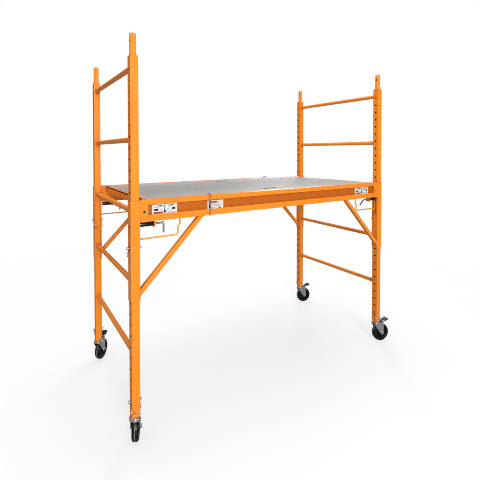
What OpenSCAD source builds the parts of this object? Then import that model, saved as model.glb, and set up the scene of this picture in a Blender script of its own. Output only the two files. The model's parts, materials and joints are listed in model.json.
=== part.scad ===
// Rolling baker scaffold: two ladder end frames on locking casters, joined by a
// height-adjustable platform whose corner sleeves slide on the drilled posts.
// Millimetres, +Z up, +X along the length, +Y towards the rear.
// Origin: centre of the top face of the deck.

/* [End frames] */
// post centre to post centre along the length
frame_spacing = 1790.7; // [1500:0.1:2000]
// post centre to post centre across the width
frame_width = 736.6; // [680:0.1:800]
// top of the square posts above the floor
post_top = 1795.5; // [1790:0.5:1800]
// diameter of the adjustment holes
hole_d = 11.5; // [11:0.1:12.5]
// outside diameter of the rungs
rung_d = 25.4; // [20:0.1:28]
// height of the lowest rung above the floor
rung_first = 427; // [420:1:434]
// distance between rungs
rung_pitch = 329.2; // [325:0.1:330]

/* [Platform] */
// height of the deck top above the floor
deck_top = 1136; // [1134:1:1138]
// thickness of the deck panel
deck_t = 12; // [9:0.5:14]
// length of the corner sleeves
sleeve_len = 462; // [440:1:470]
// width of the square diagonal braces
brace_w = 22.2; // [16:0.1:24]

/* [Casters] */
// wheel diameter
wheel_d = 120; // [110:1:121]
// distance from swivel axis to wheel axis
trail = 35; // [33:0.5:36]
// rest direction of each caster, degrees from +Y towards +X
caster_fl = 24; // [0:1:359]
// rear left caster direction
caster_rl = 42; // [0:1:359]
// front right caster direction
caster_fr = 106; // [0:1:359]
// rear right caster direction
caster_rr = 104; // [0:1:359]

/* [Hidden] */
$fn = 48;
orange = [0.96, 0.50, 0.09];
zinc = [0.78, 0.79, 0.80];
black = [0.06, 0.06, 0.065];
deck_grey = [0.62, 0.63, 0.64];
eps = 0.01; // overlap that joins a cone to its cylinder

// posts; every height is above the floor
post_w = 38.1;
post_inner_w = post_w - 2 * 2;
post_bottom = 140;
post_x = frame_spacing / 2;
post_y = frame_width / 2;
hole_pitch = 50.8;
hole_count = 31;
function hole_z(n) = post_top - 63.5 - n * hole_pitch; // n counts down from the top hole
lock_z = hole_z(14);
snap_z = hole_z(16);
stem_z = hole_z(hole_count - 1);

// sleeves and rails; the _out values are measured outboard from the post centre
sleeve_w = 44.5;
sleeve_half = sleeve_w / 2;
rail_h = 103;
rail_t = 2.5;
rail_top = deck_top + 2;
rail_bottom = rail_top - rail_h;
web_out = -0.8;
lip_out = 19.2;
web_y = post_y + web_out;
web_inner_y = web_y - rail_t;
lip_y = post_y + lip_out;
lower_lip_z = rail_bottom + 31.5; // free edges of the two lips
upper_lip_z = rail_top - 24.5;

pin_d = 9.5;
pin_bore = 9.7;

// ---- placement: side_x is -1 left, 1 right; side_y is -1 front, 1 rear ----

// moves heights above the floor so that the origin is on the deck top
module place() translate([0, 0, -deck_top]) children();

// one corner; local +x points inboard along the length, local +y outboard across the width
module corner(side_x, side_y) translate([side_x * post_x, side_y * post_y, 0]) {
  if (side_x < 0 && side_y > 0) children();
  else if (side_x < 0) mirror([0, 1, 0]) children();
  else if (side_y > 0) mirror([1, 0, 0]) children();
  else rotate([0, 0, 180]) children();
}

// one corner with local x kept along +X, local +y outboard
module corner_y(side_x, side_y) translate([side_x * post_x, side_y * post_y, 0]) {
  if (side_y > 0) children();
  else mirror([0, 1, 0]) children();
}

module each_corner() for (side_x = [-1, 1]) for (side_y = [-1, 1])
  corner(side_x, side_y) children();

module each_corner_y() for (side_x = [-1, 1]) for (side_y = [-1, 1])
  corner_y(side_x, side_y) children();

// every post axis, without mirroring
module each_post() for (side_x = [-1, 1]) for (side_y = [-1, 1])
  translate([side_x * post_x, side_y * post_y, 0]) children();

// ---- shared shapes ----

// cylinder from the local origin along +x
module rod_x(d, length) rotate([0, 90, 0]) cylinder(d = d, h = length);

// cone from the local origin along +x
module cone_x(d1, d2, length) rotate([0, 90, 0]) cylinder(d1 = d1, d2 = d2, h = length);

// cylinder along x, centred on the local origin
module cross_rod(d, length) translate([-length / 2, 0, 0]) rod_x(d, length);

// straight rod between two points of the local x-z plane
module rod_xz(start, end, d) translate([start.x, 0, start.y])
  rotate([0, atan2(end.x - start.x, end.y - start.y), 0])
    cylinder(d = d, h = norm(end - start));

// straight rod from the local origin to the point y, z
module rod_yz(y, z, d) rotate([-atan2(y, z), 0, 0]) cylinder(d = d, h = norm([y, z]));

// upright round tube
module tube(outer_d, inner_d, length) difference() {
  cylinder(d = outer_d, h = length);
  translate([0, 0, -1]) cylinder(d = inner_d, h = length + 2);
}

// upright square bar centred on the z axis
module square_bar(width, bottom, height)
  translate([-width / 2, -width / 2, bottom]) cube([width, width, height]);

// ---- end frames ----

rung_count = 5;
rung_wall = 2;
rung_len = frame_width - post_w;

module post() difference() {
  square_bar(post_w, post_bottom, post_top - post_bottom);
  square_bar(post_inner_w, post_bottom - 1, post_top - post_bottom + 2);
  for (n = [0:hole_count - 1]) translate([0, 0, hole_z(n)]) cross_rod(hole_d, 2 * post_w);
}

module posts(side_x) place()
  for (side_y = [-1, 1]) translate([side_x * post_x, side_y * post_y, 0]) post();

module rungs(side_x) place() for (n = [0:rung_count - 1])
  translate([side_x * post_x, -rung_len / 2, rung_first + n * rung_pitch])
    rotate([-90, 0, 0]) tube(rung_d, rung_d - 2 * rung_wall, rung_len);

module left_posts() color(orange) posts(-1);
module right_posts() color(orange) posts(1);
module left_rungs() color(orange) rungs(-1);
module right_rungs() color(orange) rungs(1);

spigot_d = 31.8;
spigot_step_d = 27; // where the two tapers of its end meet
spigot_plug_h = 50;
spigot_hole_rise = 63.5;

// square plug inside the post top, round spigot above it with a cross hole
module spigot() translate([0, 0, post_top]) difference() {
  union() {
    square_bar(post_inner_w, -spigot_plug_h, spigot_plug_h);
    translate([0, 0, -1]) cylinder(d = spigot_d, h = 97);
    translate([0, 0, 96]) cylinder(d1 = spigot_d, d2 = spigot_step_d, h = 4);
    translate([0, 0, 100]) cylinder(d1 = spigot_step_d, d2 = 18, h = 2);
  }
  translate([0, 0, -spigot_plug_h - 1]) cylinder(d = 26, h = 143);
  translate([0, 0, spigot_hole_rise]) cross_rod(hole_d, 60);
}

module stacking_spigots() color(orange) place() each_post() spigot();

// ---- pins with wire bails; half is half the width of what the pin crosses ----

pin_head_d = 14;
pin_head_t = 4;
pin_neck = 7; // shank between the crossed part and the head
pin_tail = 10; // shank beyond the crossed part
wire_d = 3.2;
bail_drop = 45;

// pin along x with its head on the -x side
module snap_pin(half) {
  head_x = -half - pin_neck - pin_head_t;
  translate([-half - pin_neck, 0, 0]) rod_x(pin_d, 2 * half + pin_neck + pin_tail);
  translate([head_x, 0, 0]) rod_x(pin_head_d, pin_head_t + eps);
  translate([head_x - 1.5, 0, 0]) cone_x(9, pin_head_d, 1.5 + eps);
  translate([half + pin_tail - eps, 0, 0]) cone_x(pin_d, 4, 3);
}

// wire bail on the pin ends, crossing the face that lies towards local +y
module bail(half) {
  wire_y = half + wire_d / 2 + 0.5;
  eye_x = half + 3.7;
  for (side = [-1, 1]) translate([side * eye_x, 0, 0]) {
    difference() {
      union() {
        cross_rod(14, 4.4);
        rod_yz(wire_y, -bail_drop, wire_d);
      }
      cross_rod(pin_bore, 10);
    }
    translate([0, wire_y, -bail_drop]) sphere(d = wire_d + 0.5);
  }
  translate([0, wire_y, -bail_drop]) cross_rod(wire_d, 2 * eye_x);
}

module stem_pins() color(zinc) place()
  each_corner_y() translate([0, 0, stem_z]) snap_pin(post_w / 2);

module platform_pins() color(zinc) place()
  each_corner_y() translate([0, 0, snap_z]) snap_pin(sleeve_half);

// on the outboard face of the post
module stem_bail(side_x, side_y) color(zinc) place()
  corner_y(side_x, side_y) translate([0, 0, stem_z]) bail(post_w / 2);

// on the inboard face of the sleeve
module platform_bail(side_x, side_y) color(zinc) place()
  corner_y(side_x, side_y) translate([0, 0, snap_z]) mirror([0, 1, 0]) bail(sleeve_half);

module stem_bail_fl() stem_bail(-1, -1);
module stem_bail_rl() stem_bail(-1, 1);
module stem_bail_fr() stem_bail(1, -1);
module stem_bail_rr() stem_bail(1, 1);
module platform_bail_fl() platform_bail(-1, -1);
module platform_bail_rl() platform_bail(-1, 1);
module platform_bail_fr() platform_bail(1, -1);
module platform_bail_rr() platform_bail(1, 1);

// ---- platform frame ----

rail_half = post_x - sleeve_half;
lip_inner_y = lip_y - rail_t;
rail_profile = [ // y, z
  [web_inner_y, rail_bottom], [lip_y, rail_bottom],
  [lip_y, lower_lip_z], [lip_inner_y, lower_lip_z],
  [lip_inner_y, rail_bottom + rail_t], [web_y, rail_bottom + rail_t],
  [web_y, rail_top - rail_t], [lip_inner_y, rail_top - rail_t],
  [lip_inner_y, upper_lip_z], [lip_y, upper_lip_z],
  [lip_y, rail_top], [web_inner_y, rail_top]];

// lipped channel, open outboard
module rail() translate([-rail_half, 0, 0]) rotate([90, 0, 90])
  linear_extrude(height = 2 * rail_half) polygon(rail_profile);

module rear_rail() color(orange) place() rail();
module front_rail() color(orange) place() rotate([0, 0, 180]) rail();

sleeve_bottom = deck_top - 2 - sleeve_len;
sleeve_bore = 39.7;
sleeve_slot = 30;

// C-shaped sleeve, open inboard across the width so it passes the rungs
module sleeve() difference() {
  square_bar(sleeve_w, sleeve_bottom, sleeve_len);
  square_bar(sleeve_bore, sleeve_bottom - 1, sleeve_len + 2);
  translate([-sleeve_slot / 2, -sleeve_half - 1, sleeve_bottom - 1])
    cube([sleeve_slot, 10, sleeve_len + 2]);
  for (z = [lock_z, snap_z]) translate([0, 0, z]) cross_rod(hole_d, 60);
}

module left_sleeves() color(orange) place() for (side_y = [-1, 1]) corner(-1, side_y) sleeve();
module right_sleeves() color(orange) place() for (side_y = [-1, 1]) corner(1, side_y) sleeve();

end_plate_len = 40;
end_plate_t = 3;
end_wall_t = 2;
end_wall_x = sleeve_half + end_plate_len - end_wall_t;

// plate over the open end of each rail, with a wall that closes the channel behind it
module rail_end_plates() color(orange) place() each_corner() difference() {
  union() {
    translate([sleeve_half, lip_out, rail_bottom]) cube([end_plate_len, end_plate_t, rail_h]);
    translate([end_wall_x, web_out, rail_bottom + rail_t])
      cube([end_wall_t, lip_out - rail_t - web_out, rail_h - 2 * rail_t]);
    // joins wall and plate between the lips
    translate([end_wall_x, 16, lower_lip_z]) cube([end_wall_t, 4, upper_lip_z - lower_lip_z]);
  }
  translate([43, 15, rail_bottom + 46.5]) rotate([-90, 0, 0]) cylinder(d = 11, h = 10);
}

end_channel_profile = [ // distance inboard of the post centre, depth below the deck top
  [83.35, 39], [58.35, 39], [58.35, 9.5], [63.85, 9.5], [63.85, 2.5], [56.35, 2.5],
  [56.35, 0], [66.35, 0], [66.35, 12], [60.85, 12], [60.85, 36.5], [83.35, 36.5]];

// stepped channel across each end, close to the deck: a narrow lip flush with the deck, a
// groove under it, and a web with its foot turned in under the deck
module end_channel() translate([0, web_inner_y, 0]) rotate([90, 0, 0])
  linear_extrude(height = 2 * web_inner_y)
    polygon([for (point = end_channel_profile) [post_x - point.x, deck_top - point.y]]);

module end_channels() color(orange) place() {
  end_channel();
  mirror([1, 0, 0]) end_channel();
}

deck_bottom = deck_top - deck_t;
screw_x = [-502, -175, 175, 502];
screw_y = [-222, 222];
screw_hole_d = 5.4;
crossbar_w = 30;
crossbar_inner_w = 26;
crossbar_wall = (crossbar_w - crossbar_inner_w) / 2;

module crossbars() color(orange) place() for (x = screw_x) difference() {
  translate([x - crossbar_w / 2, -web_inner_y, deck_bottom - crossbar_w])
    cube([crossbar_w, 2 * web_inner_y, crossbar_w]);
  translate([x - crossbar_inner_w / 2, -web_y + 1, deck_bottom - crossbar_w + crossbar_wall])
    cube([crossbar_inner_w, 2 * web_y - 2, crossbar_inner_w]);
  for (y = screw_y) translate([x, y, deck_bottom - 10]) cylinder(d = screw_hole_d, h = 20);
}

brace_out = 8;
brace_drop = 327; // from the rail bottom to the brace axis at the sleeve
brace_angle = 45.4;
brace_wall = 2;
brace_reach = 400; // box that trims the brace at the sleeve and under the rail
brace_stock = 600;

// square tube from the sleeve up to the rail
module corner_brace() intersection() {
  translate([sleeve_half, brace_out - brace_w / 2, rail_bottom - brace_reach])
    cube([brace_reach, brace_w, brace_reach]);
  translate([sleeve_half, brace_out - brace_w / 2, rail_bottom - brace_drop])
    rotate([0, -brace_angle, 0]) translate([-60, 0, -brace_w / 2]) difference() {
      cube([brace_stock, brace_w, brace_w]);
      translate([-1, brace_wall, brace_wall])
        cube([brace_stock + 2, brace_w - 2 * brace_wall, brace_w - 2 * brace_wall]);
    }
}

module corner_braces() color(orange) place() each_corner() corner_brace();

guard_path = [ // local x, height
  [sleeve_half, 954], [216, 954], [226, 968], [221, 987], [234, 1005], [234, rail_bottom]];

// bent rod from the sleeve to the underside of the rail
module guard_rod() {
  for (i = [0:4]) rod_xz(guard_path[i], guard_path[i + 1], 8);
  for (i = [1:4]) translate([guard_path[i].x, 0, guard_path[i].y]) sphere(d = 8.8);
  // the last bend is the point just below the rail end
}

module guard_rods() color(orange) place() each_corner() guard_rod();

// ---- lock pins and their housings ----

housing_x = 30;
housing_len = 65;
housing_d = 21;
housing_plate = [3, 28]; // thickness, width
housing_plate_drop = 15; // below the pin axis
housing_rib_t = 6;
housing_rib_rise = 6; // above the pin axis
lock_tip_x = 11.5;
lock_bend_x = 147;
lock_grip = 48;

module pin_housings() color(black) place() each_corner()
  translate([housing_x, 0, lock_z]) rotate([0, 90, 0]) tube(housing_d, pin_bore, housing_len);

// plate on the inboard end of the housing and a rib above it, both up to the rail
module housing_plates() color(orange) place() each_corner() translate([0, 0, lock_z])
  difference() {
    rise = rail_bottom - lock_z;
    union() {
      translate([housing_x + housing_len, -housing_plate.y / 2, -housing_plate_drop])
        cube([housing_plate.x, housing_plate.y, rise + housing_plate_drop]);
      translate([40, -housing_rib_t / 2, housing_rib_rise])
        cube([56, housing_rib_t, rise - housing_rib_rise]);
    }
    translate([housing_x, 0, 0]) rod_x(housing_d, housing_len);
    translate([housing_x, 0, 0]) rod_x(pin_bore, 80);
  }

// bent plunger: tip through sleeve and post, washer outside the plate, grip bent down;
// roll turns the grip inboard across the width
module lock_pin(side_x, side_y, roll = 0) color(zinc) place()
  corner(side_x, side_y) translate([0, 0, lock_z]) {
    translate([lock_tip_x, 0, 0]) rod_x(pin_d, lock_bend_x - lock_tip_x);
    translate([101, 0, 0]) rod_x(16, 3);
    translate([lock_bend_x, 0, 0]) {
      sphere(d = 10);
      rotate([-roll, 0, 0]) translate([0, 0, -lock_grip]) cylinder(d = pin_d, h = lock_grip);
    }
  }

module lock_pin_fl() lock_pin(-1, -1);
module lock_pin_rl() lock_pin(-1, 1);
module lock_pin_fr() lock_pin(1, -1, roll = 35);
module lock_pin_rr() lock_pin(1, 1);

// ---- deck ----

deck_half = [825, 361];
edging_t = 1.5;
edging_w = 8;
slot_x = -8;
slot_y = [-272, 272];
slot_half = 37; // slot centre to the centre of its round end
slot_w = 26;

// block with the deck's outline, drawn in by inset on every side
module deck_block(inset, bottom, height)
  translate([inset - deck_half.x, inset - deck_half.y, bottom])
    cube([2 * (deck_half.x - inset), 2 * (deck_half.y - inset), height]);

module each_screw(z) for (x = screw_x) for (y = screw_y) translate([x, y, z]) children();

// L-section edging around the deck, flush with its top
module deck_edging() color(zinc) place() difference() {
  deck_block(0, deck_bottom, deck_t);
  deck_block(edging_t, deck_bottom - 1, deck_t + 1 - edging_t);
  deck_block(edging_w, deck_bottom - 1, deck_t + 2);
}

// panel with two round-ended slots and countersunk screw holes
module deck_panel() color(deck_grey) place() difference() {
  union() {
    deck_block(edging_t, deck_bottom, deck_t - edging_t);
    deck_block(edging_w, deck_top - 2, 2);
  }
  for (y = slot_y) translate([slot_x, y, deck_bottom - 1]) {
    translate([-slot_half, -slot_w / 2, 0]) cube([2 * slot_half, slot_w, deck_t + 2]);
    for (x = [-slot_half, slot_half]) translate([x, 0, 0]) cylinder(d = slot_w, h = deck_t + 2);
  }
  each_screw(deck_bottom - 1) {
    cylinder(d = screw_hole_d, h = deck_t + 2);
    translate([0, 0, deck_t - 2]) cylinder(d1 = 4.6, d2 = 11.8, h = 3.6);
  }
}

// countersunk screws, their heads just below the deck top
module deck_screws() color(zinc) place() each_screw(deck_top) {
  translate([0, 0, -22]) cylinder(d = 5, h = 20);
  translate([0, 0, -2.7]) cylinder(d1 = 5, d2 = 9.8, h = 2.4);
}

latch_x = 497;
latch_y = lip_y + 4;
latch_d = 6.4;
latch_bend_d = 7.2;
latch_rise = 109; // rail bottom to the axis of the hook
latch_reach = 36;
guide_block = [14, 8.5, 12];

// upright rod on the outside of the rail, its hooked top over the deck edge, a small head below
module deck_latch() translate([latch_x, latch_y, rail_bottom]) {
  translate([0, 0, -1]) cylinder(d = latch_d, h = latch_rise + 1);
  translate([0, 0, -1.5]) cylinder(d = 7.6, h = 5);
  translate([0, 0, latch_rise]) {
    sphere(d = latch_bend_d);
    rotate([90, 0, 0]) cylinder(d = latch_d, h = latch_reach);
    translate([0, -latch_reach, 0]) sphere(d = latch_bend_d);
  }
}

// guide blocks that hold the latch rod on the two lips
module latch_guide() for (z = [rail_bottom + 4, rail_top - 20]) difference() {
  translate([latch_x - guide_block.x / 2, lip_y, z]) cube(guide_block);
  translate([latch_x, latch_y, z - 1]) cylinder(d = 6.6, h = guide_block.z + 2);
}

module latch_guides() color(orange) place() {
  latch_guide();
  rotate([0, 0, 180]) latch_guide();
}

module deck_latch_rear() color(zinc) place() deck_latch();
module deck_latch_front() color(zinc) place() rotate([0, 0, 180]) deck_latch();

// ---- casters; local +y is the trailing direction ----

wheel_r = wheel_d / 2; // also the height of the axle
tyre_seat_r = wheel_r - 14;
kingpin_d = 12;
kingpin_bore = 12.4;
kingpin_bottom = 117;
flange_bottom = 135;
race_d = 54;
fork_w = 43;
fork_leg_t = 3;
crown_bottom = 124;
crown_t = 4.8;
crown_top = crown_bottom + crown_t;
crown_back = -20;
nut_t = 6;
nut_x = 21.7;
pivot = [38, 131]; // y, z of the brake pivot
pivot_bore = 6.2;

module caster(side_x, side_y, dir)
  translate([side_x * post_x, side_y * post_y, 0]) rotate([0, 0, -dir]) children();

// round stem pinned in the post, with a flange, kingpin and peened end
module caster_stems() color(zinc) place() each_post() difference() {
  union() {
    translate([0, 0, post_bottom - 0.5]) cylinder(d = 33.6, h = 105);
    translate([0, 0, flange_bottom]) cylinder(d = 48, h = post_bottom - flange_bottom);
    translate([0, 0, kingpin_bottom]) cylinder(d = kingpin_d, h = 19);
    translate([0, 0, kingpin_bottom]) cylinder(d = 18, h = 6.8);
  }
  translate([0, 0, stem_z]) cross_rod(hole_d, 80);
}

module swivel_races() color(zinc) place() each_post() translate([0, 0, 129]) difference() {
  union() {
    cylinder(d = race_d, h = 4);
    translate([0, 0, 4 - eps]) cylinder(d1 = race_d, d2 = 46, h = 1.9 + eps);
  }
  translate([0, 0, -1]) cylinder(d = kingpin_bore, h = 8);
}

fork_leg_profile = [ // y, z
  [crown_back, crown_top], [crown_back, 118], [trail - 13, wheel_r - 4], [trail + 13, wheel_r],
  [trail + 13, 110], [trail + 12, 137], [trail - 5, 137], [trail - 6, crown_top]];

module fork_leg() rotate([90, 0, 90]) linear_extrude(height = fork_leg_t) difference() {
  union() {
    polygon(fork_leg_profile);
    translate([trail, wheel_r]) circle(d = 26);
  }
  translate([trail, wheel_r]) circle(d = 12.2);
  translate(pivot) circle(d = pivot_bore);
}

module fork(side_x, side_y, dir) color(zinc) place() caster(side_x, side_y, dir) difference() {
  union() {
    translate([0, 0, crown_bottom]) cylinder(d = 56, h = crown_t);
    translate([-fork_w / 2, crown_back, crown_bottom]) cube([fork_w, 47, crown_t]);
    for (x = [fork_w / 2 - fork_leg_t, -fork_w / 2]) translate([x, 0, 0]) fork_leg();
  }
  translate([0, 0, 120]) cylinder(d = kingpin_bore, h = 12);
}

// axle bolt with hexagonal ends, and brake pivot pin
module caster_pins(side_x, side_y, dir) color(zinc) place() caster(side_x, side_y, dir) {
  translate([0, trail, wheel_r]) {
    cross_rod(12, 50);
    for (x = [-nut_x - nut_t, nut_x]) translate([x, 0, 0]) rod_x(20, nut_t, $fn = 6);
  }
  translate([0, pivot.x, pivot.y]) cross_rod(6, 48);
}

core_profile = [ // radius, distance along the axle
  [6.1, -18], [17, -18], [18.5, -6], [wheel_r - 21, -5], [wheel_r - 19, -14], [tyre_seat_r, -14],
  [tyre_seat_r, 14], [wheel_r - 19, 14], [wheel_r - 21, 5], [18.5, 6], [17, 18], [6.1, 18]];

tyre_profile = [ // radius, distance along the axle
  [tyre_seat_r, -15], [wheel_r - 6, -16], [wheel_r - 1.5, -12], [wheel_r, -7],
  [wheel_r, 7], [wheel_r - 1.5, 12], [wheel_r - 6, 16], [tyre_seat_r, 15]];

// profile turned about the axle
module wheel_ring(side_x, side_y, dir, profile) place() caster(side_x, side_y, dir)
  translate([0, trail, wheel_r]) rotate([0, 90, 0]) rotate_extrude() polygon(profile);

module wheel_core(side_x, side_y, dir) color(black) wheel_ring(side_x, side_y, dir, core_profile);
module tyre(side_x, side_y, dir) color(black) wheel_ring(side_x, side_y, dir, tyre_profile);

pedal_tilt = 20;
pedal_arm = [24, 40, 3];
pedal_pad = [34, 28, 8];
pad_y = 26;
pad_z = -2.5;

// barrel on the pivot pin, arm, thicker pad and a round end
module brake_pedal(side_x, side_y, dir) color(black) place() caster(side_x, side_y, dir)
  translate([0, pivot.x, pivot.y]) difference() {
    union() {
      cross_rod(17, 35);
      rotate([pedal_tilt, 0, 0]) {
        translate([-pedal_arm.x / 2, 0, -pedal_arm.z / 2]) cube(pedal_arm);
        translate([-pedal_pad.x / 2, pad_y, pad_z]) cube(pedal_pad);
        translate([0, pad_y + pedal_pad.y, pad_z + pedal_pad.z / 2]) cross_rod(pedal_pad.z, 26);
      }
    }
    cross_rod(pivot_bore, 40);
  }

module caster_fork_fl() fork(-1, -1, caster_fl);
module caster_fork_rl() fork(-1, 1, caster_rl);
module caster_fork_fr() fork(1, -1, caster_fr);
module caster_fork_rr() fork(1, 1, caster_rr);
module caster_pins_fl() caster_pins(-1, -1, caster_fl);
module caster_pins_rl() caster_pins(-1, 1, caster_rl);
module caster_pins_fr() caster_pins(1, -1, caster_fr);
module caster_pins_rr() caster_pins(1, 1, caster_rr);
module wheel_core_fl() wheel_core(-1, -1, caster_fl);
module wheel_core_rl() wheel_core(-1, 1, caster_rl);
module wheel_core_fr() wheel_core(1, -1, caster_fr);
module wheel_core_rr() wheel_core(1, 1, caster_rr);
module tyre_fl() tyre(-1, -1, caster_fl);
module tyre_rl() tyre(-1, 1, caster_rl);
module tyre_fr() tyre(1, -1, caster_fr);
module tyre_rr() tyre(1, 1, caster_rr);
module brake_pedal_fl() brake_pedal(-1, -1, caster_fl);
module brake_pedal_rl() brake_pedal(-1, 1, caster_rl);
module brake_pedal_fr() brake_pedal(1, -1, caster_fr);
module brake_pedal_rr() brake_pedal(1, 1, caster_rr);

left_posts();
left_rungs();
right_posts();
right_rungs();
stacking_spigots();
caster_stems();
swivel_races();
stem_pins();
front_rail();
rear_rail();
left_sleeves();
right_sleeves();
rail_end_plates();
end_channels();
crossbars();
corner_braces();
guard_rods();
pin_housings();
housing_plates();
platform_pins();
deck_panel();
deck_edging();
deck_screws();
latch_guides();
lock_pin_fl();
lock_pin_rl();
lock_pin_fr();
lock_pin_rr();
deck_latch_front();
deck_latch_rear();
platform_bail_fl();
platform_bail_rl();
platform_bail_fr();
platform_bail_rr();
stem_bail_fl();
stem_bail_rl();
stem_bail_fr();
stem_bail_rr();
caster_fork_fl();
caster_fork_rl();
caster_fork_fr();
caster_fork_rr();
caster_pins_fl();
caster_pins_rl();
caster_pins_fr();
caster_pins_rr();
wheel_core_fl();
wheel_core_rl();
wheel_core_fr();
wheel_core_rr();
tyre_fl();
tyre_rl();
tyre_fr();
tyre_rr();
brake_pedal_fl();
brake_pedal_rl();
brake_pedal_fr();
brake_pedal_rr();
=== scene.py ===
import json
import math
import bpy
import bmesh
from mathutils import Matrix, Vector


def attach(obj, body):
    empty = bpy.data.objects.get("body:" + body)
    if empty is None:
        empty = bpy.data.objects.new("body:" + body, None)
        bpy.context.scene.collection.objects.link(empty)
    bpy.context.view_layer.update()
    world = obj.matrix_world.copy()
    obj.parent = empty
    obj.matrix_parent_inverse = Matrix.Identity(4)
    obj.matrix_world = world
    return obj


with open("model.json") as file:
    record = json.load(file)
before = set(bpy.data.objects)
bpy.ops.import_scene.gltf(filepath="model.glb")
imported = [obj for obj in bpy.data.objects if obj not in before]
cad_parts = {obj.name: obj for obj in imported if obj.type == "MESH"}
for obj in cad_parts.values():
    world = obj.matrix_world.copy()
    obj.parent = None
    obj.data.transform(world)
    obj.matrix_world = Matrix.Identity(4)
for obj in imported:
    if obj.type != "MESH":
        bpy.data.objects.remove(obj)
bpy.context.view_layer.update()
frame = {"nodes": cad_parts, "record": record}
NODES = frame["nodes"]

# ---- the design's main positions, metres, in the row frame ----
Z0 = 1.136                      # deck top above the floor
PX, PY = 0.89535, 0.3683        # post centres
POST = 0.03905 / 2
SL = 0.02225                    # half a sleeve
RAIL_T, RAIL_B = 1.138 - Z0, 1.035 - Z0
RUNGS = [0.427 + 0.3292 * n - Z0 for n in range(5)]
CORNERS = {"fl": (-1, -1, 24), "rl": (-1, 1, 42), "fr": (1, -1, 106), "rr": (1, 1, 104)}


def corner_pt(k, i, o, z):
    """i: inboard along the length, o: outboard across the width, z: above the floor; metres."""
    sx, sy, _ = CORNERS[k]
    return Vector((sx * PX - sx * i, sy * PY + sy * o, z - Z0))


# ---------------------------------------------------------------- materials

def new_mat(name):
    m = bpy.data.materials.new(name)
    m.use_nodes = True
    nt = m.node_tree
    nt.nodes.clear()
    out = nt.nodes.new("ShaderNodeOutputMaterial")
    b = nt.nodes.new("ShaderNodeBsdfPrincipled")
    nt.links.new(b.outputs[0], out.inputs[0])
    return m, nt, b


def tex_noise(nt, vec, scale, detail=4.0, rough=0.55, dist=0.0):
    n = nt.nodes.new("ShaderNodeTexNoise")
    n.inputs["Scale"].default_value = scale
    n.inputs["Detail"].default_value = detail
    n.inputs["Roughness"].default_value = rough
    n.inputs["Distortion"].default_value = dist
    nt.links.new(vec, n.inputs["Vector"])
    return n.outputs["Fac"]


def ramp(nt, fac, stops):
    r = nt.nodes.new("ShaderNodeValToRGB")
    el = r.color_ramp.elements
    while len(el) < len(stops):
        el.new(0.5)
    for e, (p, c) in zip(el, stops):
        e.position = p
        e.color = c if len(c) == 4 else (*c, 1)
    nt.links.new(fac, r.inputs[0])
    return r.outputs[0]


def grey(v):
    return (v, v, v, 1)


def mix_col(nt, fac, a, b, mode="MIX"):
    m = nt.nodes.new("ShaderNodeMix")
    m.data_type = "RGBA"
    m.blend_type = mode
    for sock, val in ((m.inputs[0], fac), (m.inputs[6], a), (m.inputs[7], b)):
        if hasattr(val, "is_output"):
            nt.links.new(val, sock)
        elif isinstance(val, (int, float)):
            sock.default_value = val
        else:
            sock.default_value = val if len(val) == 4 else (*val, 1)
    return m.outputs[2]


def math_n(nt, op, a, b=None, clamp=False):
    m = nt.nodes.new("ShaderNodeMath")
    m.operation = op
    m.use_clamp = clamp
    for i, v in enumerate((a, b)):
        if v is None:
            continue
        if isinstance(v, (int, float)):
            m.inputs[i].default_value = v
        else:
            nt.links.new(v, m.inputs[i])
    return m.outputs[0]


def bump(nt, b, heights, prev=None):
    """heights: list of (height socket, strength, distance in metres)"""
    last = prev
    for h, s, d in heights:
        n = nt.nodes.new("ShaderNodeBump")
        n.inputs["Strength"].default_value = s
        n.inputs["Distance"].default_value = d
        nt.links.new(h, n.inputs["Height"])
        if last is not None:
            nt.links.new(last, n.inputs["Normal"])
        last = n.outputs[0]
    nt.links.new(last, b.inputs["Normal"])
    return last


def coords(nt):
    return nt.nodes.new("ShaderNodeTexCoord").outputs["Object"]


def edge_mask(nt, radius=0.004):
    """1 on convex edges and corners, 0 on flats: where paint wears."""
    g = nt.nodes.new("ShaderNodeNewGeometry")
    bv = nt.nodes.new("ShaderNodeBevel")
    bv.samples = 4
    bv.inputs["Radius"].default_value = radius
    dot = nt.nodes.new("ShaderNodeVectorMath")
    dot.operation = "DOT_PRODUCT"
    nt.links.new(g.outputs["Normal"], dot.inputs[0])
    nt.links.new(bv.outputs[0], dot.inputs[1])
    return math_n(nt, "SUBTRACT", 1.0, dot.outputs["Value"], clamp=True)


def near_axis(nt, v, x0, hx, y0, hy, low=None, high=None):
    """1 where | |x| - x0 | < hx and | |y| - y0 | < hy (and z below low): the inside of a tube or slot."""
    sep = nt.nodes.new("ShaderNodeSeparateXYZ")
    nt.links.new(v, sep.inputs[0])
    ax = math_n(nt, "ABSOLUTE", math_n(nt, "SUBTRACT", math_n(nt, "ABSOLUTE", sep.outputs[0]), x0))
    ay = math_n(nt, "ABSOLUTE", math_n(nt, "SUBTRACT", math_n(nt, "ABSOLUTE", sep.outputs[1]), y0))
    r = math_n(nt, "MULTIPLY", math_n(nt, "LESS_THAN", ax, hx), math_n(nt, "LESS_THAN", ay, hy))
    if low is not None:
        r = math_n(nt, "MULTIPLY", r, math_n(nt, "LESS_THAN", sep.outputs[2], low))
    if high is not None:
        r = math_n(nt, "MULTIPLY", r, math_n(nt, "GREATER_THAN", sep.outputs[2], high))
    return r


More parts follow.
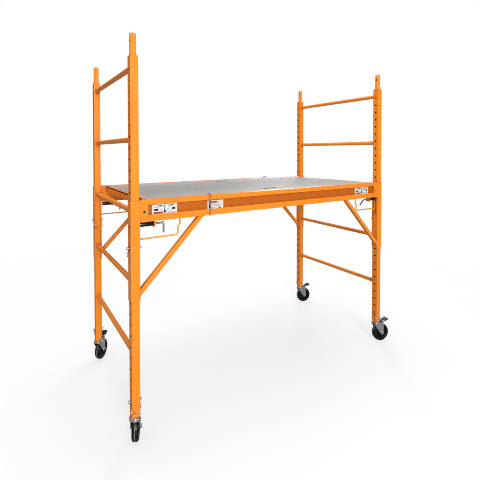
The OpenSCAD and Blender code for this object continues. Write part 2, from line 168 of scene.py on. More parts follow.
def paint(name, base, deep, wear=0.35, inside=None, shaded_web=None, dark=None):
    m, nt, b = new_mat(name)
    v = coords(nt)
    blot = tex_noise(nt, v, 2.1, 5, 0.6)
    col = ramp(nt, blot, [(0.3, deep), (0.62, base), (1.0, tuple(min(1, c * 1.04) for c in base[:3]))])
    fine = tex_noise(nt, v, 60, 3, 0.5)
    col = mix_col(nt, math_n(nt, "MULTIPLY", fine, 0.10), col, (base[0] * 0.7, base[1] * 0.62, base[2] * 0.6))
    # handling scuffs: sparse thin streaks
    mp = nt.nodes.new("ShaderNodeMapping")
    mp.inputs["Scale"].default_value = (1, 1, 0.12)
    nt.links.new(v, mp.inputs[0])
    sc = tex_noise(nt, mp.outputs[0], 95, 6, 0.7, 1.2)
    scuff = ramp(nt, sc, [(0.68, grey(0)), (0.73, grey(1))])
    col = mix_col(nt, math_n(nt, "MULTIPLY", scuff, 0.25), col, (0.45, 0.17, 0.045))
    em = edge_mask(nt)
    chips = tex_noise(nt, v, 140, 4, 0.6)
    chip = math_n(nt, "MULTIPLY", ramp(nt, em, [(0.03, grey(0)), (0.16, grey(1))]),
                  ramp(nt, chips, [(0.60, grey(0)), (0.68, grey(1))]))
    col = mix_col(nt, math_n(nt, "MULTIPLY", chip, wear), col, (0.50, 0.24, 0.09))
    # painted shade: corners and recesses darkened through an ambient occlusion mask
    ao = nt.nodes.new("ShaderNodeAmbientOcclusion")
    ao.samples = 6
    ao.inputs["Distance"].default_value = 0.055
    shade = ramp(nt, ao.outputs["AO"], [(0.25, grey(1)), (0.92, grey(0))])
    col = mix_col(nt, math_n(nt, "MULTIPLY", shade, 0.80), col, (base[0] * 0.42, base[1] * 0.30, base[2] * 0.55))
    if shaded_web is not None:
        # painted shade: the recessed web is painted darker than the lips, standing in for the shade under them
        web_shade_mask = math_n(nt, "MULTIPLY", near_axis(nt, v, *shaded_web), math_n(nt, "ADD", math_n(nt, "MULTIPLY", blot, 0.25), 0.80), clamp=True)
        col = mix_col(nt, web_shade_mask, col, (base[0] * 0.56, base[1] * 0.42, base[2] * 0.5))
    if dark is not None:
        # an unlit groove or closed-in pocket
        col = mix_col(nt, near_axis(nt, v, *dark), col, (0.035, 0.012, 0.005))
    rough = math_n(nt, "ADD", math_n(nt, "MULTIPLY", tex_noise(nt, v, 9, 4, 0.6), 0.16), 0.30)
    rough = math_n(nt, "ADD", rough, math_n(nt, "MULTIPLY", scuff, 0.18))
    if inside is not None:
        # painted shade: inside the tube and on the hole walls the paint turns near-black with no specular, standing in
        # for the unlit interior
        inside_shade_mask = near_axis(nt, v, *inside)
        col = mix_col(nt, inside_shade_mask, col, (0.012, 0.007, 0.005))
        spec = math_n(nt, "MULTIPLY", math_n(nt, "SUBTRACT", 1.0, inside_shade_mask), 0.36)
        nt.links.new(spec, b.inputs["Specular IOR Level"])
    else:
        b.inputs["Specular IOR Level"].default_value = 0.36
    nt.links.new(col, b.inputs["Base Color"])
    nt.links.new(rough, b.inputs["Roughness"])
    peel = tex_noise(nt, v, 330, 2, 0.4)
    sag = tex_noise(nt, v, 26, 3, 0.5)
    soft = None
    if inside is not None:
        # the drilled posts get their corner rounding in the shading
        rn = nt.nodes.new("ShaderNodeBevel")
        rn.samples = 6
        rn.inputs["Radius"].default_value = 0.0024
        soft = rn.outputs[0]
    bump(nt, b, [(peel, 0.22, 0.0006), (sag, 0.10, 0.002), (chip, 0.35, -0.0004)], soft)
    return m


def metal(name, base, rough0=0.22, spangle=0.5, streak=(1, 1, 1)):
    m, nt, b = new_mat(name)
    v = coords(nt)
    vo = nt.nodes.new("ShaderNodeTexVoronoi")
    vo.inputs["Scale"].default_value = 160
    nt.links.new(v, vo.inputs["Vector"])
    sp = nt.nodes.new("ShaderNodeSeparateColor")
    nt.links.new(vo.outputs["Color"], sp.inputs[0])
    tone = ramp(nt, sp.outputs[0], [(0, tuple(c * 0.86 for c in base)), (1, tuple(min(1, c * 1.06) for c in base))])
    mp = nt.nodes.new("ShaderNodeMapping")
    mp.inputs["Scale"].default_value = streak
    nt.links.new(v, mp.inputs[0])
    dull = tex_noise(nt, mp.outputs[0], 34, 5, 0.6)
    col = mix_col(nt, math_n(nt, "MULTIPLY", ramp(nt, dull, [(0.45, grey(0)), (0.7, grey(1))]), 0.35), tone,
                  (base[0] * 0.62, base[1] * 0.60, base[2] * 0.55))
    nt.links.new(col, b.inputs["Base Color"])
    b.inputs["Metallic"].default_value = 1.0
    nt.links.new(math_n(nt, "ADD", math_n(nt, "MULTIPLY", dull, 0.25), rough0 - 0.06), b.inputs["Roughness"])
    bump(nt, b, [(tex_noise(nt, mp.outputs[0], 420, 3, 0.6), 0.12, 0.0005), (sp.outputs[1], 0.05 * spangle, 0.0004)])
    return m


def plastic(name, base, rough0, grain, dust=0.25, spec=0.4):
    m, nt, b = new_mat(name)
    v = coords(nt)
    n1 = tex_noise(nt, v, 18, 5, 0.6)
    col = ramp(nt, n1, [(0.3, base), (0.8, tuple(c * 1.5 + 0.002 for c in base))])
    d = tex_noise(nt, v, 46, 6, 0.65)
    col = mix_col(nt, math_n(nt, "MULTIPLY", ramp(nt, d, [(0.60, grey(0)), (0.78, grey(1))]), dust), col, (0.07, 0.065, 0.06))
    em = edge_mask(nt, 0.003)
    col = mix_col(nt, math_n(nt, "MULTIPLY", ramp(nt, em, [(0.04, grey(0)), (0.25, grey(1))]), 0.2), col, (0.06, 0.06, 0.065))
    nt.links.new(col, b.inputs["Base Color"])
    nt.links.new(math_n(nt, "ADD", math_n(nt, "MULTIPLY", d, 0.18), rough0 - 0.08), b.inputs["Roughness"])
    b.inputs["Specular IOR Level"].default_value = spec
    bump(nt, b, [(tex_noise(nt, v, grain, 3, 0.6), 0.3, 0.0004), (n1, 0.06, 0.001)])
    return m


def deck_mat(name):
    m, nt, b = new_mat(name)
    v = coords(nt)
    big = tex_noise(nt, v, 1.7, 5, 0.6)
    col = ramp(nt, big, [(0.25, (0.272, 0.262, 0.248)), (0.75, (0.340, 0.327, 0.309))])
    mp = nt.nodes.new("ShaderNodeMapping")
    mp.inputs["Scale"].default_value = (0.25, 2.2, 1)
    nt.links.new(v, mp.inputs[0])
    grain = tex_noise(nt, mp.outputs[0], 24, 7, 0.65, 0.5)
    col = mix_col(nt, math_n(nt, "MULTIPLY", grain, 0.22), col, (0.22, 0.214, 0.205))
    sp = tex_noise(nt, v, 300, 3, 0.7)
    col = mix_col(nt, math_n(nt, "MULTIPLY", ramp(nt, sp, [(0.55, grey(0)), (0.62, grey(1))]), 0.25), col, (0.60, 0.585, 0.56))
    sc = tex_noise(nt, mp.outputs[0], 13, 8, 0.75, 2.0)
    col = mix_col(nt, math_n(nt, "MULTIPLY", ramp(nt, sc, [(0.60, grey(0)), (0.68, grey(1))]), 0.28), col, (0.52, 0.505, 0.48))
    # dust and light scuffing gathered towards the long edges
    sep = nt.nodes.new("ShaderNodeSeparateXYZ")
    nt.links.new(v, sep.inputs[0])
    edge = ramp(nt, math_n(nt, "DIVIDE", math_n(nt, "ABSOLUTE", sep.outputs[1]), 0.36), [(0.35, grey(0)), (1.0, grey(1))])
    col = mix_col(nt, math_n(nt, "MULTIPLY", edge, 0.40), col, (0.54, 0.49, 0.43))
    slot = near_axis(nt, v, 0.0, 0.0582, 0.272, 0.0134, -0.0003)
    col = mix_col(nt, slot, col, (0.010, 0.010, 0.011))
    nt.links.new(col, b.inputs["Base Color"])
    nt.links.new(math_n(nt, "ADD", math_n(nt, "MULTIPLY", grain, 0.2), 0.55), b.inputs["Roughness"])
    nt.links.new(math_n(nt, "MULTIPLY", math_n(nt, "SUBTRACT", 1.0, slot), 0.12), b.inputs["Specular IOR Level"])
    bump(nt, b, [(sp, 0.35, 0.0007), (grain, 0.15, 0.0012)])
    return m


ORANGE = (0.96, 0.285, 0.016)
DEEP = (0.88, 0.240, 0.013)
M_ORANGE = paint("orange_paint_worn", ORANGE, DEEP)
# painted shade inside the drilled post tubes and on their hole walls
M_POST = paint("orange_paint_post", ORANGE, DEEP, 0.35, (0.89535, 0.0186, 0.3683, 0.0186, 0.655))
# painted shade on the rail: its recessed web, and the unlit pocket behind the end plate holes
M_RAIL = paint("orange_paint_rail", ORANGE, DEEP, 0.35, None, (0.0, 0.90, 0.3685, 0.0016),
               (0.853, 0.0180, 0.3685, 0.0016))
M_CHANNEL = paint("orange_paint_channel", ORANGE, DEEP, 0.35, None, None, (0.8334, 0.0039, 0.0, 0.40, -0.0024, -0.0098))
M_BEAD = paint("orange_paint_bead", (0.82, 0.22, 0.015), (0.58, 0.14, 0.012), 0.5)
M_WIRE = paint("orange_paint_rod", (0.97, 0.40, 0.035), (0.92, 0.33, 0.025), 0.3)
M_ZINC = metal("zinc_plate", (0.70, 0.71, 0.73), 0.20)
M_ROD = metal("zinc_rod", (0.62, 0.625, 0.635), 0.20, 0.2, (0.15, 0.15, 1))
M_STEEL = metal("fork_steel", (0.66, 0.67, 0.69), 0.19, 1.0)
M_DARK = metal("dark_screw", (0.075, 0.075, 0.08), 0.38, 0.3)
M_BLACK = plastic("black_moulding", (0.004, 0.004, 0.0045), 0.26, 520, 0.06, 0.45)
M_RUBBER = plastic("black_tread", (0.003, 0.003, 0.0034), 0.30, 260, 0.05, 0.30)
M_CORE = plastic("black_core", (0.004, 0.004, 0.0045), 0.28, 700, 0.05, 0.40)
# pale grey standing in for a highlight along the tread's mould seam
M_SEAM_HIGHLIGHT = plastic("pale_seam_painted_highlight", (0.36, 0.36, 0.37), 0.40, 300, 0.1, 0.4)
M_DECK = deck_mat("grey_deck_coat")


def sticker(name, base):
    m, nt, b = new_mat(name)
    v = coords(nt)
    n = tex_noise(nt, v, 40, 5, 0.6)
    nt.links.new(ramp(nt, n, [(0.3, tuple(c * 0.86 for c in base)), (0.75, base)]), b.inputs["Base Color"])
    nt.links.new(math_n(nt, "ADD", math_n(nt, "MULTIPLY", n, 0.2), 0.28), b.inputs["Roughness"])
    bump(nt, b, [(tex_noise(nt, v, 500, 2, 0.5), 0.08, 0.0003)])
    return m


M_LABEL = sticker("label_white", (0.84, 0.85, 0.86))
M_LABEL_RED = sticker("label_red", (0.42, 0.030, 0.006))
M_LABEL_DARK = sticker("label_dark", (0.008, 0.008, 0.009))
M_LABEL_GREY = sticker("label_grey", (0.34, 0.35, 0.36))
M_TRIM = metal("deck_trim", (0.80, 0.83, 0.87), 0.36, 0.2, (0.1, 1, 1))

SLOT_MAT = {"orange_paint": M_ORANGE, "zinc_steel": M_ZINC, "deck_grey": M_DECK,
            "black_plastic": M_BLACK, "black_rubber": M_RUBBER}
NODE_MAT = {}
for n in NODES:
    if n.startswith("caster_fork") or n in ("caster_stems", "swivel_races"):
        NODE_MAT[n] = M_STEEL
    elif n.startswith("lock_pin") or n.startswith("deck_latch") or "bail" in n:
        NODE_MAT[n] = M_ROD
    elif n.startswith("wheel_core"):
        NODE_MAT[n] = M_CORE
    elif n == "deck_screws":
        NODE_MAT[n] = M_DARK
    elif n.endswith("_posts"):
        NODE_MAT[n] = M_POST
    elif n == "deck_edging":
        NODE_MAT[n] = M_TRIM
    elif n in ("front_rail", "rear_rail"):
        NODE_MAT[n] = M_RAIL
    elif n == "end_channels":
        NODE_MAT[n] = M_CHANNEL
    elif n == "guard_rods":
        NODE_MAT[n] = M_WIRE

# ---------------------------------------------------------------- CAD nodes

slot_of = {s["node"]: s["material_slot"] for s in frame["record"]["subparts"]}

BEVEL = {"sleeves": 0.0026, "braces": 0.0022, "crossbars": 0.0025}
SMALL = {"rail": 0.0009, "rail_end_plates": 0.0007, "end_channels": 0.0009, "deck_panel": 0.0009,
         "latch_guides": 0.0010, "housing_plates": 0.0006, "caster_fork": 0.0006, "brake_pedal": 0.0012,
         "tyre": 0.0016, "wheel_core": 0.0008, "stacking_spigots": 0.0010, "pin_housings": 0.0012,
         "caster_stems": 0.0006, "swivel_races": 0.0008, "caster_pins": 0.0007, "lock_pin": 0.0012,
         "stem_pins": 0.0005, "platform_pins": 0.0005, "deck_screws": 0.0003}


def dress(name, o):
    mat = NODE_MAT.get(name, SLOT_MAT[slot_of[name]])
    o.data.materials.clear()
    o.data.materials.append(mat)
    for p in o.data.polygons:
        p.material_index = 0
    w = o.modifiers.new("weld", "WELD")
    w.merge_threshold = 1e-6
    long_w = next((v for k, v in BEVEL.items() if k in name), None)
    small_w = next((v for k, v in SMALL.items() if name.startswith(k) or name.endswith(k)), None)
    width = long_w or small_w
    if width:
        b = o.modifiers.new("edge_round", "BEVEL")
        b.width = width
        b.segments = 3 if long_w else 2
        b.use_clamp_overlap = True
        b.limit_method = "ANGLE"
        b.angle_limit = math.radians(50)
        b.harden_normals = True
        b.miter_outer = "MITER_ARC"


for name, o in NODES.items():
    dress(name, o)

# ---------------------------------------------------------------- mesh helpers

def make(name, verts, faces, mat, body, smooth=True, sharp=None):
    me = bpy.data.meshes.new(name)
    me.from_pydata([tuple(v) for v in verts], [], faces)
    me.validate()
    bm = bmesh.new()
    bm.from_mesh(me)
    bmesh.ops.recalc_face_normals(bm, faces=bm.faces)
    if sharp is not None:
        for e in bm.edges:
            if len(e.link_faces) == 2 and e.calc_face_angle(0) > math.radians(sharp):
                e.smooth = False
    bm.to_mesh(me)
    bm.free()
    for p in me.polygons:
        p.use_smooth = smooth
    me.materials.append(mat)
    o = bpy.data.objects.new(name, me)
    bpy.context.scene.collection.objects.link(o)
    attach(o, body)
    return o


class Build:
    """Collects several closed shells into one mesh."""

    def __init__(self):
        self.v, self.f = [], []

    def add(self, verts, faces):
        n = len(self.v)
        self.v += [Vector(p) for p in verts]
        self.f += [tuple(i + n for i in f) for f in faces]

    def tube(self, pts, radius, seg=12, closed=False, flat=None):
        """Swept round bar. radius: a number or a function of (index, angle)."""
        pts = [Vector(p) for p in pts]
        n = len(pts)
        rings = []
        ref = None
        for i, p in enumerate(pts):
            a = pts[(i - 1) % n] if (closed or i > 0) else p
            c = pts[(i + 1) % n] if (closed or i < n - 1) else p
            t = (c - a).normalized()
            if ref is None:
                ref = t.orthogonal().normalized()
            ref = (ref - t * ref.dot(t)).normalized()
            side = t.cross(ref)
            ring = []
            for s in range(seg):
                ang = 2 * math.pi * s / seg
                r = radius(i, ang) if callable(radius) else radius
                ring.append(p + (ref * math.cos(ang) + side * math.sin(ang)) * r)
            rings.append(ring)
        verts = [q for ring in rings for q in ring]
        faces = []
        last = n if closed else n - 1
        for i in range(last):
            j = (i + 1) % n
            for s in range(seg):
                t2 = (s + 1) % seg
                faces.append((i * seg + s, i * seg + t2, j * seg + t2, j * seg + s))
        if not closed:
            faces.append(tuple(range(seg - 1, -1, -1)))
            faces.append(tuple((n - 1) * seg + s for s in range(seg)))
        self.add(verts, faces)

    def bead(self, pts, r, closed=False):
        """Weld bead: a rippled, slightly uneven bar along pts."""
        out = []
        pts = [Vector(p) for p in pts]
        loop = pts + [pts[0]] if closed else pts
        for a, b in zip(loop, loop[1:]):
            k = max(2, int((b - a).length / (r * 0.55)))
            for i in range(k):
                out.append(a.lerp(b, i / k))
        if not closed:
            out.append(loop[-1])

        def rad(i, ang):
            return r * (0.90 + 0.14 * math.sin(i * 2.1) + 0.05 * math.sin(i * 0.37 + ang * 2))
        self.tube(out, rad, 8, closed)

    def ring(self, centre, axis, major, r, n=40, ripple=True):
        axis = Vector(axis).normalized()
        u = axis.orthogonal().normalized()
        w = axis.cross(u)
        pts = [Vector(centre) + (u * math.cos(2 * math.pi * i / n) + w * math.sin(2 * math.pi * i / n)) * major for i in range(n)]
        if ripple:
            self.tube(pts, lambda i, a: r * (0.9 + 0.13 * math.sin(i * 2.2)), 8, True)
        else:
            self.tube(pts, r, 10, True)

    def plate(self, origin, ux, uy, uz, sx, sy, sz, rad=0.002, seg=4):
        """Rounded-corner plate, centred at origin; sx by sy, sz thick along uz."""
        ux, uy, uz = Vector(ux), Vector(uy), Vector(uz)
        o = Vector(origin)
        prof = []
        for cx, cy, a0 in ((1, 1, 0), (-1, 1, 90), (-1, -1, 180), (1, -1, 270)):
            for s in range(seg + 1):
                a = math.radians(a0 + 90 * s / seg)
                prof.append((cx * (sx / 2 - rad) + rad * math.cos(a), cy * (sy / 2 - rad) + rad * math.sin(a)))
        ins = min(sz * 0.4, rad * 0.5)
        n = len(prof)
        layers = [(0.0, 1.0), (sz - ins, 1.0), (sz, 1.0 - ins / max(sx, sy) * 2)]
        verts, faces = [], []
        for z, k in layers:
            for x, y in prof:
                verts.append(o + ux * (x * k) + uy * (y * k) + uz * z)
        for l in range(len(layers) - 1):
            for i in range(n):
                j = (i + 1) % n
                faces.append((l * n + i, l * n + j, (l + 1) * n + j, (l + 1) * n + i))
        faces.append(tuple(range(n - 1, -1, -1)))
        faces.append(tuple((len(layers) - 1) * n + i for i in range(n)))
        self.add(verts, faces)

    def lathe(self, centre, axis, profile, seg=32, wave=None):
        """profile: list of (radius, along axis); closed shell about the axis."""
        axis = Vector(axis).normalized()
        u = axis.orthogonal().normalized()
        w = axis.cross(u)
        c = Vector(centre)
        n = len(profile)
        verts, faces = [], []
        for s in range(seg):
            a = 2 * math.pi * s / seg
            d = u * math.cos(a) + w * math.sin(a)
            for r, t in profile:
                rr = r if wave is None else r * wave(a, r)
                verts.append(c + d * rr + axis * t)
        for s in range(seg):
            s2 = (s + 1) % seg
            for i in range(n):
                j = (i + 1) % n
                faces.append((s * n + i, s * n + j, s2 * n + j, s2 * n + i))
        self.add(verts, faces)

    def done(self, name, mat, body, slot, smooth=True, sharp=None):
        return make(name, self.v, self.f, mat, body, smooth, sharp)


# ---------------------------------------------------------------- welds

for side, sx in (("left", -1), ("right", 1)):
    b = Build()
    for z in RUNGS:
        for sy in (-1, 1):
            b.ring((sx * PX, sy * (PY - POST + 0.0002), z), (0, 1, 0), 0.0127, 0.0019, 36)
    for sy in (-1, 1):
        # bead round the foot of the stacking spigot
        b.ring((sx * PX, sy * PY, 1.7955 - Z0), (0, 0, 1), 0.0161, 0.0015, 44)
    b.done("frame_welds_" + side, M_BEAD, "end_frames", "orange_paint")

b = Build()
for k in CORNERS:
    # brace foot on the sleeve, brace head under the rail
    y0, y1 = -0.0031, 0.0191
    zc, h = 0.708, 0.0156
    b.bead([corner_pt(k, SL, y0, zc - h), corner_pt(k, SL, y1, zc - h), corner_pt(k, SL, y1, zc + h),
            corner_pt(k, SL, y0, zc + h)], 0.0017, True)
    ic = SL + 0.327 / 1.0140
    b.bead([corner_pt(k, ic - h, y0, 1.0348), corner_pt(k, ic + h, y0, 1.0348), corner_pt(k, ic + h, y1, 1.0348),
            corner_pt(k, ic - h, y1, 1.0348)], 0.0017, True)
    # end plate to sleeve, end plate to rail lips
    b.bead([corner_pt(k, SL + 0.0006, 0.0219, 1.037), corner_pt(k, SL + 0.0006, 0.0219, 1.136)], 0.0015)
    b.bead([corner_pt(k, 0.0622, 0.0195, 1.037), corner_pt(k, 0.0622, 0.0195, 1.0655)], 0.0013)
    b.bead([corner_pt(k, 0.0622, 0.0195, 1.1145), corner_pt(k, 0.0622, 0.0195, 1.136)], 0.0013)
    # rail web to sleeve, inside
    b.bead([corner_pt(k, SL + 0.0006, -0.0034, 1.038), corner_pt(k, SL + 0.0006, -0.0034, 1.133)], 0.0016)
    # guard rod ends
    b.ring(corner_pt(k, SL + 0.0006, 0, 0.954), (1, 0, 0), 0.0042, 0.0012, 20)
    b.ring(corner_pt(k, 0.234, 0, 1.0346), (0, 0, 1), 0.0042, 0.0012, 20)
    # housing plate under the rail
    b.bead([corner_pt(k, 0.0950, -0.0030, 1.0346), corner_pt(k, 0.0950, 0.0138, 1.0346)], 0.0013)
for x in (-0.502, -0.175, 0.175, 0.502):
    for sy in (-1, 1):
        y = sy * 0.3649
        b.bead([(x - 0.013, y, 1.0942 - Z0), (x + 0.013, y, 1.0942 - Z0)], 0.0014)
        for s in (-1, 1):
            b.bead([(x + s * 0.0152, y, 1.096 - Z0), (x + s * 0.0152, y, 1.122 - Z0)], 0.0014)
for sx in (-1, 1):
    for sy in (-1, 1):
        y = sy * 0.3649
        b.bead([(sx * 0.8125, y, 1.0968 - Z0), (sx * 0.8365, y, 1.0968 - Z0), (sx * 0.8372, y, 1.0985 - Z0),
                (sx * 0.8372, y, 1.1262 - Z0)], 0.0014)
b.done("platform_welds", M_BEAD, "platform", "orange_paint")

# ---------------------------------------------------------------- labels, plain and without lettering

def label(name, x0, x1, z0, z1, kind):
    y = -0.3675
    cx, cz = (x0 + x1) / 2, (z0 + z1) / 2 - Z0
    w, h = x1 - x0, z1 - z0
    out = (0, -1, 0)
    ux, uz = (1, 0, 0), (0, 0, 1)
    p = Build()
    p.plate((cx, y, cz), ux, uz, out, w, h, 0.0005, 0.002)
    p.done(name + "_panel", M_LABEL, "platform", "orange_paint", smooth=False)
    g, d, r = Build(), Build(), Build()
    yy = y - 0.00045

    def bar(bld, u, v, bw, bh):
        bld.plate((cx + u * w, yy, cz + v * h), ux, uz, out, bw * w, bh * h, 0.00025, min(bw * w, bh * h) * 0.25, 2)
    if kind == "wide":
        bar(d, -0.20, 0.35, 0.22, 0.085)
        bar(d, 0.24, 0.35, 0.24, 0.085)
        bar(g, -0.26, 0.22, 0.30, 0.05)
        bar(g, 0.26, 0.22, 0.30, 0.05)
        bar(d, 0.0, 0.02, 0.032, 0.80)
        bar(d, 0.0, -0.22, 0.075, 0.24)
        bar(d, -0.34, -0.02, 0.17, 0.20)
        bar(d, 0.36, 0.02, 0.14, 0.20)
        bar(g, -0.15, 0.03, 0.12, 0.05)
        bar(g, -0.15, -0.08, 0.12, 0.05)
        bar(g, 0.16, 0.05, 0.14, 0.05)
        bar(g, 0.16, -0.08, 0.14, 0.05)
        bar(r, -0.26, -0.32, 0.38, 0.17)
        bar(g, 0.26, -0.32, 0.36, 0.05)
    else:
        bar(r, -0.14, 0.31, 0.56, 0.17)
        bar(g, 0.32, 0.33, 0.20, 0.06)
        for v in (0.12, 0.0, -0.12):
            bar(g, 0.06, v, 0.56, 0.05)
        bar(d, -0.38, -0.10, 0.07, 0.50)
        bar(g, 0.02, -0.28, 0.62, 0.05)
        bar(d, 0.26, -0.38, 0.18, 0.07)
    g.done(name + "_lines", M_LABEL_GREY, "platform", "orange_paint", smooth=False)
    d.done(name + "_marks", M_LABEL_DARK, "platform", "orange_paint", smooth=False)
    r.done(name + "_band", M_LABEL_RED, "platform", "orange_paint", smooth=False)


label("label_left", -0.806, -0.676, 1.060, 1.109, "wide")
label("label_middle", -0.503, -0.407, 1.059, 1.106, "tall")
label("label_right", 0.657, 0.797, 1.062, 1.108, "wide")

# ---------------------------------------------------------------- recess marks on the deck screws

# painted shade: near-black crosses in the screw heads stand in for the unlit cross recesses
b = Build()
for x in (-0.502, -0.175, 0.175, 0.502):
    for y in (-0.222, 0.222):
        a = 0.6 + x * 3.1 + y
        for q in (0, math.pi / 2):
            ux = Vector((math.cos(a + q), math.sin(a + q), 0))
            uy = Vector((-math.sin(a + q), math.cos(a + q), 0))
            b.plate((x, y, -0.00045), ux, uy, (0, 0, 1), 0.0048, 0.0011, 0.00028, 0.0003, 2)
b.done("screw_recess_shade", M_LABEL_DARK, "platform", "zinc_steel", smooth=False)

# ---------------------------------------------------------------- lock pin housings: two ribs

b = Build()
for k in CORNERS:
    for i in (0.0315, 0.0935):
        b.ring(corner_pt(k, i, 0, 1.0208), (1, 0, 0), 0.0100, 0.0012, 36, False)
b.done("housing_collars", M_BLACK, "platform", "black_plastic")

# ---------------------------------------------------------------- casters

def caster_dirs(k):
    sx, sy, psi = CORNERS[k]
    s, c = math.sin(math.radians(psi)), math.cos(math.radians(psi))
    back = Vector((s, c, 0))
    side = Vector((c, -s, 0))
    base = Vector((sx * PX, sy * PY, -Z0))
    return base, back, side


for k in CORNERS:
    base, back, side = caster_dirs(k)
    up = Vector((0, 0, 1))
    hub = base + back * 0.035 + up * 0.060
    # tread ribs on the tyre and moulded rings on its side walls
    b = Build()
    for t in (-0.0060, 0.0060):
        b.ring(hub + side * t, side, 0.0597, 0.0007, 72, False)
    for s in (-1, 1):
        b.ring(hub + side * (s * 0.0150), side, 0.0520, 0.0009, 64, False)
    b.done("tread_ribs_" + k, M_RUBBER, "wheel_" + k, "black_rubber")
    # painted highlight: a raised mould seam round the middle of the tread, coloured pale grey to stand in for its glint
    b = Build()
    b.ring(hub, side, 0.0600, 0.0011, 90, False)
    b.done("seam_highlight_" + k, M_SEAM_HIGHLIGHT, "wheel_" + k, "black_rubber")
    # spokes of the moulded core
    b = Build()
    for s in (-1, 1):
        for j in range(10):
            a = 2 * math.pi * j / 10 + 0.2
            d = back * math.cos(a) + up * math.sin(a)
            tng = side.cross(d)
            b.plate(hub + d * 0.0295 + side * (s * 0.0050), d, tng, side * s, 0.0230, 0.0030, 0.0065, 0.0008, 2)
        b.ring(hub + side * (s * 0.0140), side, 0.0430, 0.0010, 48, False)
    b.done("core_spokes_" + k, M_CORE, "wheel_" + k, "black_plastic", sharp=35)
    # axle washers and pedal pivot heads
    b = Build()
    for s in (-1, 1):
        b.lathe(hub + side * (s * 0.0216), side * s, [(0.0063, 0), (0.0118, 0), (0.0121, 0.0004), (0.0118, 0.0011), (0.0063, 0.0011)], 32)
        b.lathe(base + back * 0.038 + up * 0.131 + side * (s * 0.0216), side * s,
                [(0.0031, 0), (0.0058, 0), (0.0058, 0.0012), (0.0040, 0.0020), (0.0031, 0.0021)], 24)
    b.done("caster_washers_" + k, M_ZINC, "caster_fork_" + k, "zinc_steel", sharp=40)
    # pressed rim round the swivel race
    b = Build()
    b.ring(base + up * 0.1333, up, 0.0262, 0.0010, 56, False)
    b.done("race_rim_" + k, M_STEEL, "end_frames", "zinc_steel")
    # pedal pad: ribbed top
    b = Build()
    piv = base + back * 0.038 + up * 0.131
    ca, sa = math.cos(math.radians(20)), math.sin(math.radians(20))
    along = back * ca + up * sa
    nrm = up * ca - back * sa
    for j in range(6):
        b.plate(piv + along * (0.0285 + j * 0.0046) + nrm * 0.0053, side, along, nrm, 0.0310, 0.0020, 0.0011, 0.0008, 2)
    b.done("pedal_ribs_" + k, M_BLACK, "brake_pedal_" + k, "black_plastic", smooth=False)
    # bright pressed frame of the pedal
    b = Build()
    for s in (-1, 1):
        b.plate(piv + along * 0.020 + side * (s * 0.0128) + nrm * 0.0005, along, nrm, side * s, 0.030, 0.0085, 0.0014, 0.002, 3)
    b.done("pedal_cheeks_" + k, M_STEEL, "brake_pedal_" + k, "zinc_steel", smooth=False)

# ---------------------------------------------------------------- floor, light, camera

def stage_plane():
    me = bpy.data.meshes.new("floor")
    n, s = 12, 9.0
    vs, fs = [], []
    for i in range(n + 1):
        for j in range(n + 1):
            vs.append((-s + 2 * s * i / n, -s + 2 * s * j / n, -Z0 - 0.0005))
    for i in range(n):
        for j in range(n):
            a = i * (n + 1) + j
            fs.append((a, a + n + 1, a + n + 2, a + 1))
    me.from_pydata(vs, [], fs)
    m = bpy.data.materials.new("pale_floor")
    m.use_nodes = True
    nt = m.node_tree
    nt.nodes.clear()
    out = nt.nodes.new("ShaderNodeOutputMaterial")
    v = coords(nt)
    dif = nt.nodes.new("ShaderNodeBsdfDiffuse")
    nt.links.new(ramp(nt, tex_noise(nt, v, 0.8, 3, 0.5), [(0.3, (0.86, 0.86, 0.865)), (0.7, (0.90, 0.90, 0.905))]), dif.inputs[0])
    low = nt.nodes.new("ShaderNodeBsdfDiffuse")
    nt.links.new(ramp(nt, tex_noise(nt, v, 0.9, 3, 0.5), [(0.3, (0.30, 0.30, 0.305)), (0.7, (0.34, 0.34, 0.345))]), low.inputs[0])
    glow = nt.nodes.new("ShaderNodeEmission")
    ln = nt.nodes.new("ShaderNodeVectorMath")
    ln.operation = "LENGTH"
    nt.links.new(v, ln.inputs[0])
    far = ramp(nt, math_n(nt, "DIVIDE", ln.outputs["Value"], 4.2), [(0.28, grey(0.60)), (0.85, grey(1.0))])
    mixf = nt.nodes.new("ShaderNodeMixShader")
    nt.links.new(far, mixf.inputs[0])
    nt.links.new(dif.outputs[0], mixf.inputs[1])
    nt.links.new(glow.outputs[0], mixf.inputs[2])
    lpf = nt.nodes.new("ShaderNodeLightPath")
    mixc = nt.nodes.new("ShaderNodeMixShader")
    nt.links.new(lpf.outputs["Is Camera Ray"], mixc.inputs[0])
    nt.links.new(low.outputs[0], mixc.inputs[1])
    nt.links.new(mixf.outputs[0], mixc.inputs[2])
    nt.links.new(mixc.outputs[0], out.inputs[0])
    me.materials.append(m)
    o = bpy.data.objects.new("floor", me)
    bpy.context.scene.collection.objects.link(o)


stage_plane()

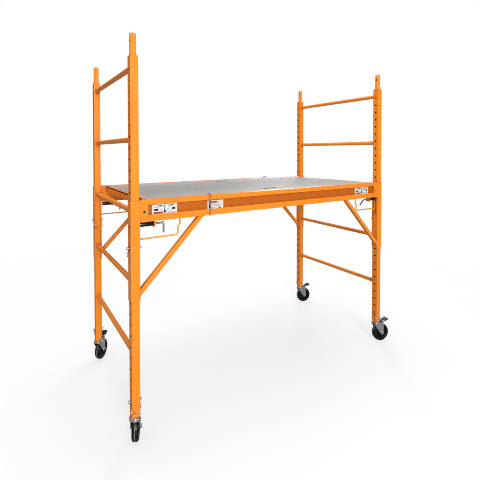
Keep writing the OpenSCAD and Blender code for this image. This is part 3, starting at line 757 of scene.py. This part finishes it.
world = bpy.data.worlds.new("studio")
bpy.context.scene.world = world
world.use_nodes = True
nt = world.node_tree
nt.nodes.clear()
wo = nt.nodes.new("ShaderNodeOutputWorld")
lp = nt.nodes.new("ShaderNodeLightPath")
mx = nt.nodes.new("ShaderNodeMixShader")
bg_cam = nt.nodes.new("ShaderNodeBackground")
bg_cam.inputs[0].default_value = (1, 1, 1, 1)
bg_cam.inputs[1].default_value = 1.0
bg_amb = nt.nodes.new("ShaderNodeBackground")
tcw = nt.nodes.new("ShaderNodeTexCoord")
sepw = nt.nodes.new("ShaderNodeSeparateXYZ")
nt.links.new(tcw.outputs["Generated"], sepw.inputs[0])
up01 = math_n(nt, "ADD", math_n(nt, "MULTIPLY", sepw.outputs[2], 0.5), 0.5)
nt.links.new(ramp(nt, up01, [(0.0, (0.30, 0.30, 0.31)), (0.44, (0.30, 0.30, 0.31)), (0.50, (0.10, 0.10, 0.105)),
                             (0.60, (0.16, 0.16, 0.17)), (0.72, (0.80, 0.82, 0.85)), (1.0, (0.95, 0.97, 1.0))]), bg_amb.inputs[0])
bg_amb.inputs[1].default_value = 0.75
nt.links.new(lp.outputs["Is Camera Ray"], mx.inputs[0])
nt.links.new(bg_amb.outputs[0], mx.inputs[1])
nt.links.new(bg_cam.outputs[0], mx.inputs[2])
nt.links.new(mx.outputs[0], wo.inputs[0])


def area(name, loc, target, size, power, color=(1, 1, 1)):
    l = bpy.data.lights.new(name, "AREA")
    l.energy = power
    l.shape = "RECTANGLE"
    l.size, l.size_y = size
    l.color = color
    o = bpy.data.objects.new(name, l)
    o.location = loc
    d = Vector(target) - Vector(loc)
    o.rotation_mode = "QUATERNION"
    o.rotation_quaternion = d.to_track_quat("-Z", "Y")
    bpy.context.scene.collection.objects.link(o)
    return o


area("key", (-2.0, -6.2, 1.2), (0, 0, -0.45), (2.6, 1.8), 350, (1.0, 0.985, 0.96))
area("fill_left", (-5.2, -0.4, 0.9), (0, 0, -0.3), (0.9, 2.2), 5, (1.0, 0.98, 0.96))
area("top", (0.4, 0.4, 3.6), (0, 0, 0), (2.6, 1.8), 70, (1.0, 1.0, 1.0))
area("rim", (3.4, 3.2, 1.6), (0, 0, -0.2), (1.2, 2.2), 60, (0.97, 0.98, 1.0))

cam_data = bpy.data.cameras.new("photo_camera")
cam = bpy.data.objects.new("photo_camera", cam_data)
bpy.context.scene.collection.objects.link(cam)
bpy.context.scene.camera = cam
F_PX, CX, CY = 343.962, 200.0, 157.638
YAW, PIT, ROL = 0.51010, -0.019785, -0.002669
LOC = Vector((-1.397068, -1.887748, 1.732 - 0.369249 - Z0))
fw = Vector((math.cos(PIT) * math.sin(YAW), math.cos(PIT) * math.cos(YAW), math.sin(PIT)))
right = Vector((math.cos(YAW), -math.sin(YAW), 0))
upv = right.cross(fw)
r_ = right * math.cos(ROL) + upv * math.sin(ROL)
u_ = -right * math.sin(ROL) + upv * math.cos(ROL)
rot = Matrix(((r_.x, u_.x, -fw.x), (r_.y, u_.y, -fw.y), (r_.z, u_.z, -fw.z)))
cam.rotation_mode = "QUATERNION"
cam.rotation_quaternion = rot.to_quaternion()
cam.location = LOC
cam_data.sensor_width = 36.0
cam_data.lens = F_PX * 36.0 / 480.0
cam_data.clip_start, cam_data.clip_end = 0.05, 60


def lens_shift(path, value):
    """The lens shift holds only at the photograph's camera position, so that any other view stays centred."""
    fc = cam_data.driver_add(path)
    for m in list(fc.modifiers):
        fc.modifiers.remove(m)
    d = fc.driver
    d.type = "SUM"
    v = d.variables.new()
    v.name = "x"
    v.type = "TRANSFORMS"
    v.targets[0].id = cam
    v.targets[0].transform_type = "LOC_X"
    v.targets[0].transform_space = "WORLD_SPACE"
    for x, y in ((-0.12, 0), (-0.06, value), (0.06, value), (0.12, 0)):
        kp = fc.keyframe_points.insert(LOC.x + x, y)
        kp.interpolation = "LINEAR"
    fc.extrapolation = "CONSTANT"


lens_shift("shift_x", (240 - CX) / 480)
lens_shift("shift_y", (CY - 240) / 480)

scene = bpy.context.scene
scene.view_settings.view_transform = "Standard"
scene.view_settings.look = "None"
scene.view_settings.exposure = 0.0
if hasattr(scene, "cycles"):
    scene.cycles.filter_width = 1.0
